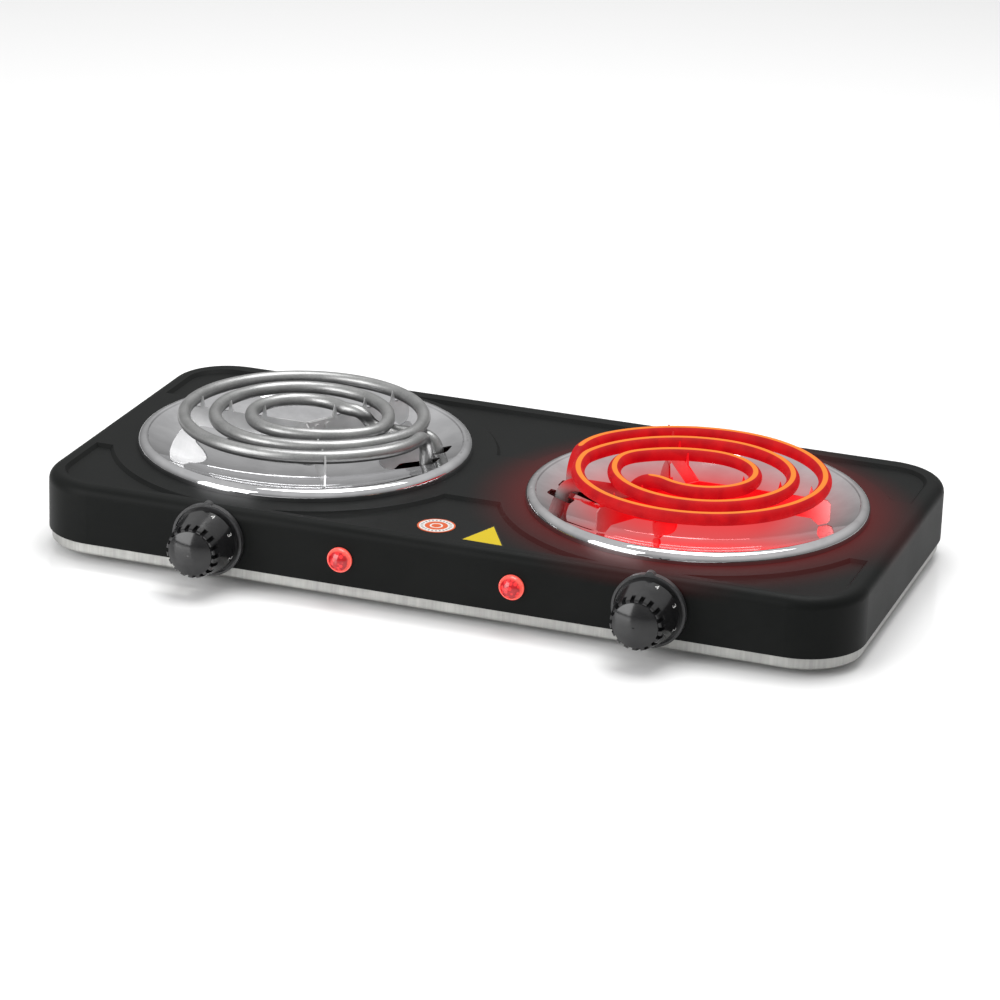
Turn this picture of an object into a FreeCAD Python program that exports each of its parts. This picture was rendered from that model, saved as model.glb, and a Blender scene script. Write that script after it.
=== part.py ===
import FreeCAD, Part
import math
import os
import Sketcher

# A double coil hot plate. +Z is up and the front is towards -Y. The origin lies on the surface that
# the rubber feet stand on, under the middle of the whole object, knobs and cable inlet included.
# Pieces are drawn about the middle of the housing and moved back by centring when they are named.

Vector = FreeCAD.Vector
UP = Vector(0, 0, 1)
TURN_TO = {
    "z": FreeCAD.Rotation(),
    "x": FreeCAD.Rotation(Vector(0, 1, 0), 90),
    "y": FreeCAD.Rotation(Vector(1, 0, 0), -90),
    "-y": FreeCAD.Rotation(Vector(1, 0, 0), 90),
}

doc = FreeCAD.newDocument("double_hot_plate")
sheet = doc.addObject("Spreadsheet::Sheet", "Sheet")
nodes = []


class Size:
    """A length read from the sheet, together with the expression that ties other objects to it."""

    def __init__(self, value, text):
        self.value = value
        self.text = text

    def __float__(self):
        return self.value

    def __add__(self, other):
        other = as_size(other)
        return Size(self.value + other.value, f"({self.text} + {other.text})")

    def __sub__(self, other):
        other = as_size(other)
        return Size(self.value - other.value, f"({self.text} - {other.text})")

    def __mul__(self, other):
        other = as_size(other)
        return Size(self.value * other.value, f"({self.text} * {other.text})")

    def __truediv__(self, other):
        other = as_size(other)
        return Size(self.value / other.value, f"({self.text} / {other.text})")

    def __radd__(self, other):
        return as_size(other) + self

    def __rsub__(self, other):
        return as_size(other) - self

    def __rmul__(self, other):
        return as_size(other) * self

    def __neg__(self):
        return Size(-self.value, f"(0 - {self.text})")


def as_size(value):
    if isinstance(value, Size):
        return value
    return Size(float(value), f"({float(value)!r})")


def root(size):
    return Size(math.sqrt(size.value), f"sqrt({size.text})")


def dimension(alias, value):
    """Write one driving dimension into the sheet and read it back."""
    row = dimension.rows = dimension.rows + 1
    sheet.set(f"A{row}", alias.replace("_", " "))
    sheet.set(f"B{row}", str(value))
    sheet.setAlias(f"B{row}", alias)
    sheet.recompute()
    return Size(float(sheet.get(alias)), f"Sheet.{alias}")


dimension.rows = 0

# Housing and base
body_length = dimension("body_length", 440)
body_depth = dimension("body_depth", 220.5)
corner_radius = dimension("corner_radius", 33)
edge_radius = dimension("edge_radius", 5.8)
foot_height = dimension("foot_height", 4)
band_height = dimension("band_height", 6.5)
shell_height = dimension("shell_height", 31.3)
shell_wall = dimension("shell_wall", 1)
tray_inset = dimension("tray_inset", 1.5)
tray_wall = dimension("tray_wall", 0.8)
tray_height = dimension("tray_height", 11)
tray_edge = dimension("tray_edge", 1.5)
panel_depth = dimension("panel_depth", 1.8)
panel_side = dimension("panel_side", 211)
panel_front = dimension("panel_front", 101.5)
panel_rear = dimension("panel_rear", 98)
panel_split = dimension("panel_split", 45)
panel_corner = dimension("panel_corner", 22)
panel_arc = dimension("panel_arc", 102)
centre_panel_front = dimension("centre_panel_front", 42)
centre_panel_rear = dimension("centre_panel_rear", 25)
foot_x = dimension("foot_x", 190)
foot_y = dimension("foot_y", 88)
foot_radius = dimension("foot_radius", 9)
screw_radius = dimension("screw_radius", 1.85)
vent_length = dimension("vent_length", 34)
vent_width = dimension("vent_width", 3.2)
vent_pitch = dimension("vent_pitch", 9)

# Burners
burner_x = dimension("burner_x", 109)
burner_y = dimension("burner_y", -1.7)
opening_radius = dimension("opening_radius", 80)
pan_radius = dimension("pan_radius", 89.3)
pan_sheet = dimension("pan_sheet", 0.6)
pan_crest = dimension("pan_crest", 6)
pan_roll = dimension("pan_roll", 4.2)
bowl_radius = dimension("bowl_radius", 216.4)
bowl_drop = dimension("bowl_drop", 11.8)
bowl_edge = dimension("bowl_edge", 83.6)
tube_radius = dimension("tube_radius", 3.5)
coil_height = dimension("coil_height", 57.85)
coil_dive = dimension("coil_dive", 8.2)
leg_x = dimension("leg_x", 67.5)
outer_leg_y = dimension("outer_leg_y", 2)
inner_leg_y = dimension("inner_leg_y", 19.5)
leg_end_x = dimension("leg_end_x", 92)
hinge_x = dimension("hinge_x", 83)
hinge_z = dimension("hinge_z", 34)
hinge_bar_radius = dimension("hinge_bar_radius", 5)
journal_radius = dimension("journal_radius", 2.5)
running_fit = dimension("running_fit", 0.06)
slide_gap = dimension("slide_gap", 0.03)
arm_sheet = dimension("arm_sheet", 0.9)
arm_tip = dimension("arm_tip", 70.5)
arm_bottom = dimension("arm_bottom", 44)
rivet_radius = dimension("rivet_radius", 1.4)

# Controls on the front
control_z = dimension("control_z", 24.55)
knob_x = dimension("knob_x", 118)
lamp_x = dimension("lamp_x", 46)
bezel_radius = dimension("bezel_radius", 19.2)
bezel_depth = dimension("bezel_depth", 3)
bezel_web = dimension("bezel_web", 1.2)
knob_gap = dimension("knob_gap", 5)
knob_depth = dimension("knob_depth", 27)
skirt_radius = dimension("skirt_radius", 16.8)
grip_radius = dimension("grip_radius", 13.3)
shaft_radius = dimension("shaft_radius", 3)
bush_radius = dimension("bush_radius", 4.9)
control_screw_x = dimension("control_screw_x", 12)
control_screw = dimension("control_screw", 1.5)
lamp_radius = dimension("lamp_radius", 6.5)
lamp_barrel = dimension("lamp_barrel", 4.95)
lamp_length = dimension("lamp_length", 13)

# Supply
block_y = dimension("block_y", 71)
gland_bore = dimension("gland_bore", 3.7)
gland_barrel = dimension("gland_barrel", 6.4)
gland_z = dimension("gland_z", 24)
gland_reach = dimension("gland_reach", 6)
earth_x = dimension("earth_screw_x", 58)
wire_radius = dimension("wire_radius", 1.2)
label_sheet = dimension("label_sheet", 0.2)

tray_floor = foot_height + tray_wall
shell_bottom = foot_height + band_height
shell_top = shell_bottom + shell_height
front_face = -body_depth / 2
panel_surface = shell_top - panel_depth
bowl_bottom = shell_top - bowl_drop
centring = (knob_depth - gland_reach) / 2


# ---------------------------------------------------------------- objects of the document

def bind(thing, name, size):
    """Tie one property, or one part of it, to the sheet."""
    thing.setExpression(name, as_size(size).text)


placed_y = {}


def place(thing, x=0, y=0, z=0, turn=FreeCAD.Rotation()):
    thing.Placement = FreeCAD.Placement(Vector(float(x), float(y), float(z)), turn)
    placed_y[thing.Name] = y
    for axis, size in (("x", x), ("y", y), ("z", z)):
        bind(thing, f"Placement.Base.{axis}", size)
    return thing


def node(thing, label):
    """Name a finished piece and move it from the housing's middle to the object's own origin."""
    thing.Label = label
    bind(thing, "Placement.Base.y", placed_y.get(thing.Name, 0) + centring)
    nodes.append(thing)
    return thing


def box(name, x, y, z):
    """A box between two limits along each axis."""
    solid = doc.addObject("Part::Box", name)
    for side, (low, high) in (("Length", x), ("Width", y), ("Height", z)):
        bind(solid, side, as_size(high) - low)
    return place(solid, x[0], y[0], z[0])


def cylinder(name, radius, length, x, y, z, along="z"):
    """A cylinder that starts at x, y, z and runs along an axis."""
    solid = doc.addObject("Part::Cylinder", name)
    bind(solid, "Radius", radius)
    bind(solid, "Height", length)
    return place(solid, x, y, z, TURN_TO[along])


def fuse(name, *solids):
    joined = doc.addObject("Part::MultiFuse", name)
    joined.Shapes = list(solids)
    joined.Refine = True
    return joined


def cut(name, base, *tools):
    result = doc.addObject("Part::Cut", name)
    result.Base = base
    result.Tool = tools[0] if len(tools) == 1 else fuse(f"{name}_tools", *tools)
    return result


def group(name, solids):
    """Separate solids that share one node, such as a set of screws."""
    joined = doc.addObject("Part::Compound", name)
    joined.Links = list(solids)
    return joined


def new_body(name):
    return doc.addObject("PartDesign::Body", name)


def new_sketch(body, plane, offset=0):
    """A sketch on one of the body's own origin planes, moved along the plane's normal."""
    sketch = body.newObject("Sketcher::SketchObject", f"{body.Name}_sketch")
    base = [item for item in body.Origin.OriginFeatures if item.Role == plane]
    sketch.AttachmentSupport = [(base[0], "")]
    sketch.MapMode = "FlatFace"
    bind(sketch, "AttachmentOffset.Base.z", offset)
    return sketch


def fix_point(sketch, geometry, position, x, y):
    """Hold a point of a sketch at x, y from the sketch's origin."""
    for kind, size, axis in (("DistanceX", as_size(x), -2), ("DistanceY", as_size(y), -1)):
        if size.value == 0:
            sketch.addConstraint(Sketcher.Constraint("PointOnObject", geometry, position, axis))
            continue
        index = sketch.addConstraint(Sketcher.Constraint(kind, -1, 1, geometry, position, size.value))
        sketch.setExpression(f"Constraints[{index}]", size.text)


def circle(sketch, radius, x=0, y=0):
    centre = Vector(float(x), float(y), 0)
    index = sketch.addGeometry(Part.Circle(centre, UP, float(radius)), False)
    fix_point(sketch, index, 3, x, y)
    number = sketch.addConstraint(Sketcher.Constraint("Radius", index, float(radius)))
    sketch.setExpression(f"Constraints[{number}]", as_size(radius).text)


def arc_between(start, end, radius):
    """The shorter arc from start to end; a positive radius turns left."""
    chord = end - start
    height = math.sqrt(radius * radius - chord.Length ** 2 / 4)
    left = Vector(-chord.y, chord.x, 0).normalize()
    centre = (start + end) * 0.5 + left * math.copysign(height, radius)
    first, last = (start, end) if radius > 0 else (end, start)
    angles = [math.atan2(point.y - centre.y, point.x - centre.x) for point in (first, last)]
    return Part.ArcOfCircle(Part.Circle(centre, UP, abs(radius)), *angles)


def outline(sketch, corners):
    """A closed outline. A corner is (x, y), or (x, y, radius) where an arc runs to the next one."""
    points = [Vector(float(corner[0]), float(corner[1]), 0) for corner in corners]
    ends = []
    for number, corner in enumerate(corners):
        start = points[number]
        end = points[(number + 1) % len(points)]
        if len(corner) == 2:
            ends.append((sketch.addGeometry(Part.LineSegment(start, end), False), 1, 2))
            continue
        radius = as_size(corner[2])
        index = sketch.addGeometry(arc_between(start, end, radius.value), False)
        ends.append((index, 1, 2) if radius.value > 0 else (index, 2, 1))
        size = radius if radius.value > 0 else -radius
        count = sketch.addConstraint(Sketcher.Constraint("Radius", index, size.value))
        sketch.setExpression(f"Constraints[{count}]", size.text)
    for number, (index, begin, _) in enumerate(ends):
        before, _, finish = ends[number - 1]
        sketch.addConstraint(Sketcher.Constraint("Coincident", before, finish, index, begin))
        fix_point(sketch, index, begin, corners[number][0], corners[number][1])


def rounded_rectangle(sketch, length, depth, radius, x=0, y=0):
    left, right = x - as_size(length) / 2, x + as_size(length) / 2
    front, back = y - as_size(depth) / 2, y + as_size(depth) / 2
    outline(sketch, (
        (left + radius, front), (right - radius, front, radius),
        (right, front + radius), (right, back - radius, radius),
        (right - radius, back), (left + radius, back, radius),
        (left, back - radius), (left, front + radius, radius),
    ))


def extrude(body, kind, sketch, length, backwards=False, taper=0):
    """A pad or a pocket of a sketch."""
    feature = body.newObject(f"PartDesign::{kind}", f"{body.Name}_{kind.lower()}")
    feature.Profile = sketch
    bind(feature, "Length", length)
    feature.Reversed = backwards
    feature.TaperAngle = taper
    return feature


def check_cut(body, feature, before):
    """A pocket that points away from the solid cuts nothing, so the volumes are compared."""
    doc.recompute()
    if feature.Shape.Volume >= before.Shape.Volume - 0.01:
        raise RuntimeError(f"{feature.Name} of {body.Name} cuts nothing")
    return feature


def revolve(name, corners):
    """A solid of revolution about the body's Z axis; corners are (radius, height)."""
    body = new_body(name)
    sketch = new_sketch(body, "XZ_Plane")
    outline(sketch, corners)
    feature = body.newObject("PartDesign::Revolution", f"{name}_revolution")
    feature.Profile = sketch
    feature.ReferenceAxis = (sketch, ["V_Axis"])
    feature.Angle = 360
    return body


def flat_edges(shape, height):
    """Names of the edges that lie flat at a height."""
    return [
        f"Edge{number}" for number, edge in enumerate(shape.Edges, 1)
        if abs(edge.BoundBox.ZMin - height) < 1e-4 and abs(edge.BoundBox.ZMax - height) < 1e-4
    ]


def flat_face(shape, height):
    for number, face in enumerate(shape.Faces, 1):
        if abs(face.BoundBox.ZMin - height) < 1e-4 and abs(face.BoundBox.ZMax - height) < 1e-4:
            return f"Face{number}"
    raise RuntimeError("no flat face at that height")


def shelled_box(body, length, depth, radius, bottom, height, edge, wall, open_top):
    """A pressed sheet tray: a rounded block, one end rounded off, hollowed from the other end."""
    sketch = new_sketch(body, "XY_Plane", bottom)
    rounded_rectangle(sketch, length, depth, radius)
    block = extrude(body, "Pad", sketch, height)
    doc.recompute()
    closed_end = bottom if open_top else bottom + height
    open_end = bottom + height if open_top else bottom
    rounding = body.newObject("PartDesign::Fillet", f"{body.Name}_rounding")
    rounding.Base = (block, flat_edges(block.Shape, closed_end.value))
    bind(rounding, "Radius", edge)
    doc.recompute()
    shell = body.newObject("PartDesign::Thickness", f"{body.Name}_sheet")
    shell.Base = (rounding, [flat_face(rounding.Shape, open_end.value)])
    bind(shell, "Value", wall)
    shell.Reversed = True
    doc.recompute()
    return shell


# ---------------------------------------------------------------- housing

def arc_reach(radius, y):
    """How far an arc about a burner reaches sideways at a height y of the plan."""
    return root(radius * radius - (y - burner_y) * (y - burner_y))


def embossed_panels(sketch, grow):
    """Outlines of the six sunk panels: four corners and two between the burners."""
    arc = panel_arc - grow
    side = panel_side + grow
    corner = panel_corner + grow
    for sign_y, reach in ((-1, panel_front), (1, panel_rear)):
        inner_y = sign_y * (panel_split - grow)
        outer_y = sign_y * (reach + grow)
        inner_x = burner_x + arc_reach(arc, inner_y)
        outer_x = burner_x + arc_reach(arc, outer_y)
        for sign_x in (-1, 1):
            turn = sign_x * sign_y
            outline(sketch, (
                (sign_x * side, inner_y),
                (sign_x * inner_x, inner_y, turn * arc),
                (sign_x * outer_x, outer_y),
                (sign_x * (side - corner), outer_y, -turn * corner),
                (sign_x * side, outer_y - sign_y * corner),
            ))
    for inner_y, outer_y, turn in (
        (-centre_panel_front + grow, -panel_front - grow, -1),
        (centre_panel_rear - grow, panel_rear + grow, 1),
    ):
        inner_x = burner_x - arc_reach(arc, inner_y)
        outer_x = burner_x - arc_reach(arc, outer_y)
        outline(sketch, (
            (-inner_x, inner_y, turn * arc),
            (-outer_x, outer_y),
            (outer_x, outer_y, turn * arc),
            (inner_x, inner_y),
        ))


def make_top_housing():
    body = new_body("top_housing")
    shell = shelled_box(body, body_length, body_depth, corner_radius, shell_bottom, shell_height,
                        edge_radius, shell_wall, open_top=False)

    lining = new_sketch(body, "XY_Plane", shell_top - shell_wall / 2)
    embossed_panels(lining, shell_wall * 0.9)
    lined = extrude(body, "Pad", lining, panel_depth + shell_wall / 2, backwards=True, taper=-45)
    panels = new_sketch(body, "XY_Plane", shell_top)
    embossed_panels(panels, 0)
    sunk = extrude(body, "Pocket", panels, panel_depth, taper=-45)
    check_cut(body, sunk, lined)

    openings = new_sketch(body, "XY_Plane", shell_top + 1)
    for sign in (-1, 1):
        circle(openings, opening_radius, sign * burner_x, burner_y)
    opened = extrude(body, "Pocket", openings, shell_wall + panel_depth + 3)
    check_cut(body, opened, sunk)

    controls = new_sketch(body, "XZ_Plane", body_depth / 2 + 1)
    for sign in (-1, 1):
        circle(controls, bush_radius + 0.1, sign * knob_x, control_z)
        circle(controls, lamp_barrel + 0.1, sign * lamp_x, control_z)
        for screw_side in (-1, 1):
            circle(controls, control_screw + 0.1, sign * knob_x + screw_side * control_screw_x, control_z)
    drilled = extrude(body, "Pocket", controls, shell_wall + 2)
    check_cut(body, drilled, opened)

    inlet = new_sketch(body, "XZ_Plane", -body_depth / 2 - 1)
    circle(inlet, gland_barrel + 0.1, 0, gland_z)
    pierced = extrude(body, "Pocket", inlet, shell_wall + 2, backwards=True)
    check_cut(body, pierced, drilled)
    node(body, "top_housing")


def make_base_plate():
    body = new_body("base_plate")
    shell = shelled_box(body, body_length - 2 * tray_inset, body_depth - 2 * tray_inset,
                        corner_radius - tray_inset, foot_height, tray_height,
                        tray_edge, tray_wall, open_top=True)
    holes = new_sketch(body, "XY_Plane", tray_floor + 1)
    for sign_x in (-1, 1):
        for sign_y in (-1, 1):
            circle(holes, screw_radius + 0.2, sign_x * foot_x, sign_y * foot_y)
        circle(holes, control_screw + 0.1, sign_x * 5.25, block_y)
    circle(holes, screw_radius + 0.1, earth_x, block_y)
    drilled = extrude(body, "Pocket", holes, tray_wall + 2)
    check_cut(body, drilled, shell)
    vents = new_sketch(body, "XY_Plane", tray_floor + 1)
    for sign in (-1, 1):
        rounded_rectangle(vents, vent_length, vent_width, vent_width / 2.01,
                          sign * burner_x, -3 * vent_pitch)
    vented = extrude(body, "Pocket", vents, tray_wall + 2)
    check_cut(body, vented, drilled)
    rows = body.newObject("PartDesign::LinearPattern", "vent_rows")
    rows.Originals = [vented]
    rows.Direction = (vents, ["V_Axis"])
    bind(rows, "Length", 6 * vent_pitch)
    rows.Occurrences = 7
    body.Tip = rows
    check_cut(body, rows, vented)
    node(body, "base_plate")


def corner_places():
    for end, sign_y in (("front", -1), ("rear", 1)):
        for side, sign_x in (("left", -1), ("right", 1)):
            yield f"{end}_{side}", sign_x * foot_x, sign_y * foot_y


def make_feet_and_posts():
    posts = []
    screws = []
    head_radius = as_size(3.7)
    head_top = as_size(2.4)
    screw_end = as_size(14)
    for name, x, y in corner_places():
        cone = doc.addObject("Part::Cone", f"{name}_cone")
        bind(cone, "Radius1", foot_radius - 1)
        bind(cone, "Radius2", foot_radius)
        bind(cone, "Height", foot_height)
        place(cone, x, y, 0)
        hole = cylinder(f"{name}_foot_hole", screw_radius + 0.2, foot_height + 2, x, y, -1)
        recess = cylinder(f"{name}_foot_recess", head_radius + 0.4, head_top + 1, x, y, -1)
        node(cut(f"{name}_foot", cone, hole, recess), f"{name}_foot")

        post = cylinder(f"{name}_post", 4, panel_surface - shell_wall - tray_floor, x, y, tray_floor)
        thread = cylinder(f"{name}_post_thread", screw_radius + slide_gap, screw_end + 1 - tray_floor,
                          x, y, tray_floor)
        posts.append(cut(f"{name}_tapped_post", post, thread))

        head = cylinder(f"{name}_screw_head", head_radius, 1.6, x, y, head_top - 1.6)
        shank = cylinder(f"{name}_screw_shank", screw_radius, screw_end - head_top, x, y, head_top)
        slot = box(f"{name}_screw_slot", (x - 2.6, x + 2.6), (y - 0.4, y + 0.4),
                   (head_top - 2, head_top - 0.8))
        screws.append(cut(f"{name}_screw", fuse(f"{name}_screw_blank", head, shank), slot))
    node(group("housing_posts", posts), "housing_posts")
    node(group("base_screws", screws), "base_screws")


# ---------------------------------------------------------------- burners

SIDES = (("left", -1), ("right", 1))


def on_burner(sign):
    """The turn of a burner: the right one is the left one turned half round."""
    return FreeCAD.Rotation(UP, 0 if sign < 0 else 180)


def burner_node(thing, sign, label):
    """Put a piece that was drawn about a burner's own axis in its place on the housing."""
    place(thing, sign * burner_x, burner_y, 0, on_burner(sign))
    return node(thing, label)


def bowl_height(radius, gap=0):
    """Height of the pan's upper surface, plus a gap, at a distance from its axis."""
    bend = bowl_radius - gap
    return bowl_bottom + bowl_radius - root(bend * bend - as_size(radius) * radius)


def make_drip_pan(side, sign):
    crest = shell_top + pan_crest
    roll_x = pan_radius - pan_roll
    lip = shell_top + 0.05
    sheet_in = pan_sheet
    body = revolve(f"{side}_drip_pan", (
        (0, bowl_bottom, bowl_radius),
        (bowl_edge, bowl_height(bowl_edge)),
        (bowl_edge + 0.5, crest - 0.3),
        (bowl_edge + 1.2, crest),
        (roll_x, crest, -pan_roll),
        (pan_radius, crest - pan_roll),
        (pan_radius, lip),
        (pan_radius - sheet_in, lip),
        (pan_radius - sheet_in, crest - pan_roll, pan_roll - sheet_in),
        (roll_x, crest - sheet_in),
        (bowl_edge + 1.3, crest - sheet_in),
        (bowl_edge + 0.95, crest - 0.95),
        (bowl_edge + 0.6, bowl_height(bowl_edge + 0.6, -sheet_in), -bowl_radius - sheet_in),
        (0, bowl_bottom - sheet_in),
    ))
    doc.recompute()
    dish = body.Tip
    slots = new_sketch(body, "XY_Plane", crest + 2)
    rounded_rectangle(slots, 22.9, 10.4, 2, 62.45, 2.6)
    rounded_rectangle(slots, 13, 9.6, 2, 68, 19.4)
    slotted = extrude(body, "Pocket", slots, 30)
    check_cut(body, slotted, dish)
    burner_node(body, sign, f"{side}_drip_pan")


class Route:
    """A path of straight runs and tangent arcs, laid down from a start point and a heading."""

    def __init__(self, start, heading):
        self.point = start
        self.heading = heading.normalize()
        self.edges = []

    def straight(self, length):
        end = self.point + self.heading * length
        self.edges.append(Part.LineSegment(self.point, end).toShape())
        self.point = end

    def bend(self, radius, angle, towards):
        """Turn by an angle in degrees towards a direction square to the heading."""
        turn = FreeCAD.Rotation(self.heading.cross(towards), angle)
        half = FreeCAD.Rotation(self.heading.cross(towards), angle / 2)
        centre = self.point + towards.normalize() * radius
        arm = self.point - centre
        middle = centre + half.multVec(arm)
        end = centre + turn.multVec(arm)
        self.edges.append(Part.Arc(self.point, middle, end).toShape())
        self.heading = turn.multVec(self.heading)
        self.point = end

    def step_in(self, first_radius, front):
        """Two tangent arcs from a heading of -Y to a heading of -X on the plane x = 0."""
        across = self.point.x
        down = self.point.y - front
        second = ((across - first_radius) ** 2 + down ** 2 - first_radius ** 2)
        second /= 2 * (down - first_radius)
        angle = math.degrees(math.acos((second - down) / (second - first_radius)))
        self.bend(first_radius, 90 - angle, Vector(-1, 0, 0))
        inward = self.heading.cross(UP)
        self.bend(second, angle, inward)

    def wire(self):
        return Part.Wire(self.edges)


def pipe(path, radius):
    """A round rod along a path, with its volume compared with its section times its length."""
    first = path.Edges[0]
    start = first.valueAt(first.FirstParameter)
    section = Part.Wire(Part.makeCircle(radius, start, first.tangentAt(first.FirstParameter)))
    solid = path.makePipeShell([section], True, False)
    expected = math.pi * radius * radius * path.Length
    if abs(solid.Volume / expected - 1) > 0.02:
        raise RuntimeError("a swept rod has the wrong volume")
    return solid


def coil_path():
    """The coil's centre line, from the outer leg's cold end to the inner leg's."""
    tail = float(leg_end_x - leg_x)
    low_bend = 6.5
    top_bend = 12
    route = Route(Vector(float(leg_end_x), float(outer_leg_y), float(hinge_z)), Vector(-1, 0, 0))
    route.straight(tail - low_bend)
    route.bend(low_bend, 90, Vector(0, 0, 1))
    route.straight(float(coil_height - hinge_z) - low_bend - top_bend)
    route.bend(top_bend, 90, Vector(0, -1, 0))
    route.step_in(42, -64.5)
    route.bend(65, 90, Vector(0, 1, 0))
    route.bend(64.5, 90, Vector(1, 0, 0))
    route.bend(62, 90, Vector(0, -1, 0))
    route.step_in(24, -48)
    route.bend(48.5, 90, Vector(0, 1, 0))
    route.bend(46, 90, Vector(1, 0, 0))
    route.bend(46, 90, Vector(0, -1, 0))
    route.step_in(20, -29)
    route.bend(29, 90, Vector(0, 1, 0))
    route.bend(26, 90, Vector(1, 0, 0))
    exit_turn = 33
    inner_radius = 26
    route.bend(inner_radius, exit_turn, Vector(0, -1, 0))
    lowered = route.point.y - float(inner_leg_y)
    swing = lowered / (1 - math.cos(math.radians(exit_turn)))
    route.bend(swing, exit_turn, UP.cross(route.heading))
    dive_bend = 11
    dive = float(coil_dive)
    dive_angle = math.degrees(math.acos(1 - dive / (2 * dive_bend)))
    route.bend(dive_bend, dive_angle, Vector(0, 0, -1))
    route.bend(dive_bend, dive_angle, Vector(0, 1, 0).cross(route.heading) * -1)
    leg_bend = 8.5
    route.straight(float(leg_x) - leg_bend - route.point.x)
    route.bend(leg_bend, 90, Vector(0, 0, -1))
    route.straight(route.point.z - low_bend - float(hinge_z))
    route.bend(low_bend, 90, Vector(1, 0, 0))
    route.straight(tail - low_bend)
    return route.wire()


def make_coil(side, sign, path):
    coil = doc.addObject("Part::Feature", f"{side}_coil_element")
    coil.Shape = pipe(path, float(tube_radius))
    burner_node(coil, sign, f"{side}_coil_element")

    bead_length = as_size(3)
    pin_length = as_size(9)
    sleeve_length = as_size(6)
    beads = []
    pins = []
    sleeves = []
    for number, y in enumerate((outer_leg_y, inner_leg_y)):
        name = f"{side}_leg{number}"
        bead = cylinder(f"{name}_bead", tube_radius - 0.2, bead_length, leg_end_x, y, hinge_z, "x")
        bore = cylinder(f"{name}_bead_bore", 1.6 + slide_gap, bead_length, leg_end_x, y, hinge_z, "x")
        beads.append(cut(f"{name}_insulator", bead, bore))
        pins.append(cylinder(f"{name}_pin", 1.6, pin_length, leg_end_x, y, hinge_z, "x"))
        sleeve_x = leg_end_x + pin_length - sleeve_length + 0.4
        sleeve = cylinder(f"{name}_sleeve", 3, sleeve_length, sleeve_x, y, hinge_z, "x")
        socket = cylinder(f"{name}_socket", 1.6 + slide_gap, sleeve_length - 0.4, sleeve_x, y,
                          hinge_z, "x")
        sleeves.append(cut(f"{name}_receptacle", sleeve, socket))
    burner_node(group(f"{side}_end_beads", beads), sign, f"{side}_end_beads")
    burner_node(group(f"{side}_coil_terminals", pins), sign, f"{side}_coil_terminals")
    burner_node(group(f"{side}_coil_receptacles", sleeves), sign, f"{side}_coil_receptacles")


def make_hinge(side, sign):
    """A round bar that grips both legs and turns in the two ears of a bracket."""
    bar_start = outer_leg_y - 6
    bar_length = inner_leg_y + 6 - bar_start
    journal = as_size(2.6)
    ear_gap = as_size(0.6)
    ear = as_size(1.5)
    bar = cylinder(f"{side}_bar_core", hinge_bar_radius, bar_length, hinge_x, bar_start, hinge_z, "y")
    ends = cylinder(f"{side}_bar_journals", journal_radius, bar_length + 2 * journal,
                    hinge_x, bar_start - journal, hinge_z, "y")
    bores = [
        cylinder(f"{side}_bar_bore{number}", tube_radius + slide_gap, 14, hinge_x - 7, y, hinge_z, "x")
        for number, y in enumerate((outer_leg_y, inner_leg_y))
    ]
    turned = cut(f"{side}_hinge_bar", fuse(f"{side}_bar_blank", bar, ends), *bores)
    burner_node(turned, sign, f"{side}_hinge_bar")

    inner_top = shell_top - shell_wall
    wing = as_size(6)
    plate = box(f"{side}_bracket_plate", (hinge_x - 2, hinge_x + wing),
                (bar_start - ear_gap - ear, bar_start + bar_length + ear_gap + ear),
                (inner_top - 1.2, inner_top))
    ears = [
        box(f"{side}_bracket_ear{number}", (hinge_x - wing, hinge_x + wing), (y, y + ear),
            (hinge_z - 4.5, inner_top))
        for number, y in enumerate((bar_start - ear_gap - ear, bar_start + bar_length + ear_gap))
    ]
    hole = cylinder(f"{side}_bracket_hole", journal_radius + running_fit, bar_length + 8,
                    hinge_x, bar_start - 4, hinge_z, "y")
    bracket = cut(f"{side}_hinge_bracket", fuse(f"{side}_bracket_blank", plate, *ears), hole)
    burner_node(bracket, sign, f"{side}_hinge_bracket")


def turn_radii(path, degrees):
    """Distances from the burner's axis at which the coil's turns cross an arm."""
    way = Vector(math.cos(math.radians(degrees)), math.sin(math.radians(degrees)), 0)
    line = Part.makeLine(way * 8 + UP * float(coil_height), way * 80 + UP * float(coil_height))
    found = []
    for edge in path.Edges:
        gap, pairs, _ = line.distToShape(edge)
        radius = math.hypot(pairs[0][0].x, pairs[0][0].y)
        if gap < 0.01 and all(abs(radius - other) > 1 for other in found):
            found.append(radius)
    return sorted(found)


def arm(name, start, radii, outer_finger):
    """One upright sheet arm: a foot on the pan, a straight top, and a finger inside each turn."""
    top = coil_height - tube_radius - 0.05
    finger_top = as_size(6.2)
    body = new_body(name)
    sketch = new_sketch(body, "XZ_Plane")
    corners = [
        (start, arm_bottom),
        (arm_tip - 10, arm_bottom - 0.6),
        (arm_tip - 6, bowl_height(arm_tip - 6, 0.4)),
        (arm_tip - 1.5, bowl_height(arm_tip - 1.5, 0.4)),
        (arm_tip, bowl_height(arm_tip, 0.6) + 1),
    ]
    places = [radius - float(tube_radius) - 2.6 for radius in radii]
    if outer_finger:
        corners.append((radii[-1] + float(tube_radius) + 2.6, top - 4))
        places.append(radii[-1] + float(tube_radius) + 0.4)
    else:
        corners.append((arm_tip, top - 2))
        corners.append((arm_tip - 2, top))
    for foot in sorted(places, reverse=True):
        corners.append((foot + 2.2, top))
        corners.append((foot + 1.7, top + finger_top * 0.6))
        corners.append((foot + 0.8, top + finger_top))
        corners.append((foot + 0.3, top + finger_top * 0.6))
        corners.append((foot - 0.6, top))
    corners.append((start, top))
    outline(sketch, corners)
    plate = body.newObject("PartDesign::Pad", f"{name}_sheet")
    plate.Profile = sketch
    bind(plate, "Length", arm_sheet)
    plate.Midplane = True
    return body


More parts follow.
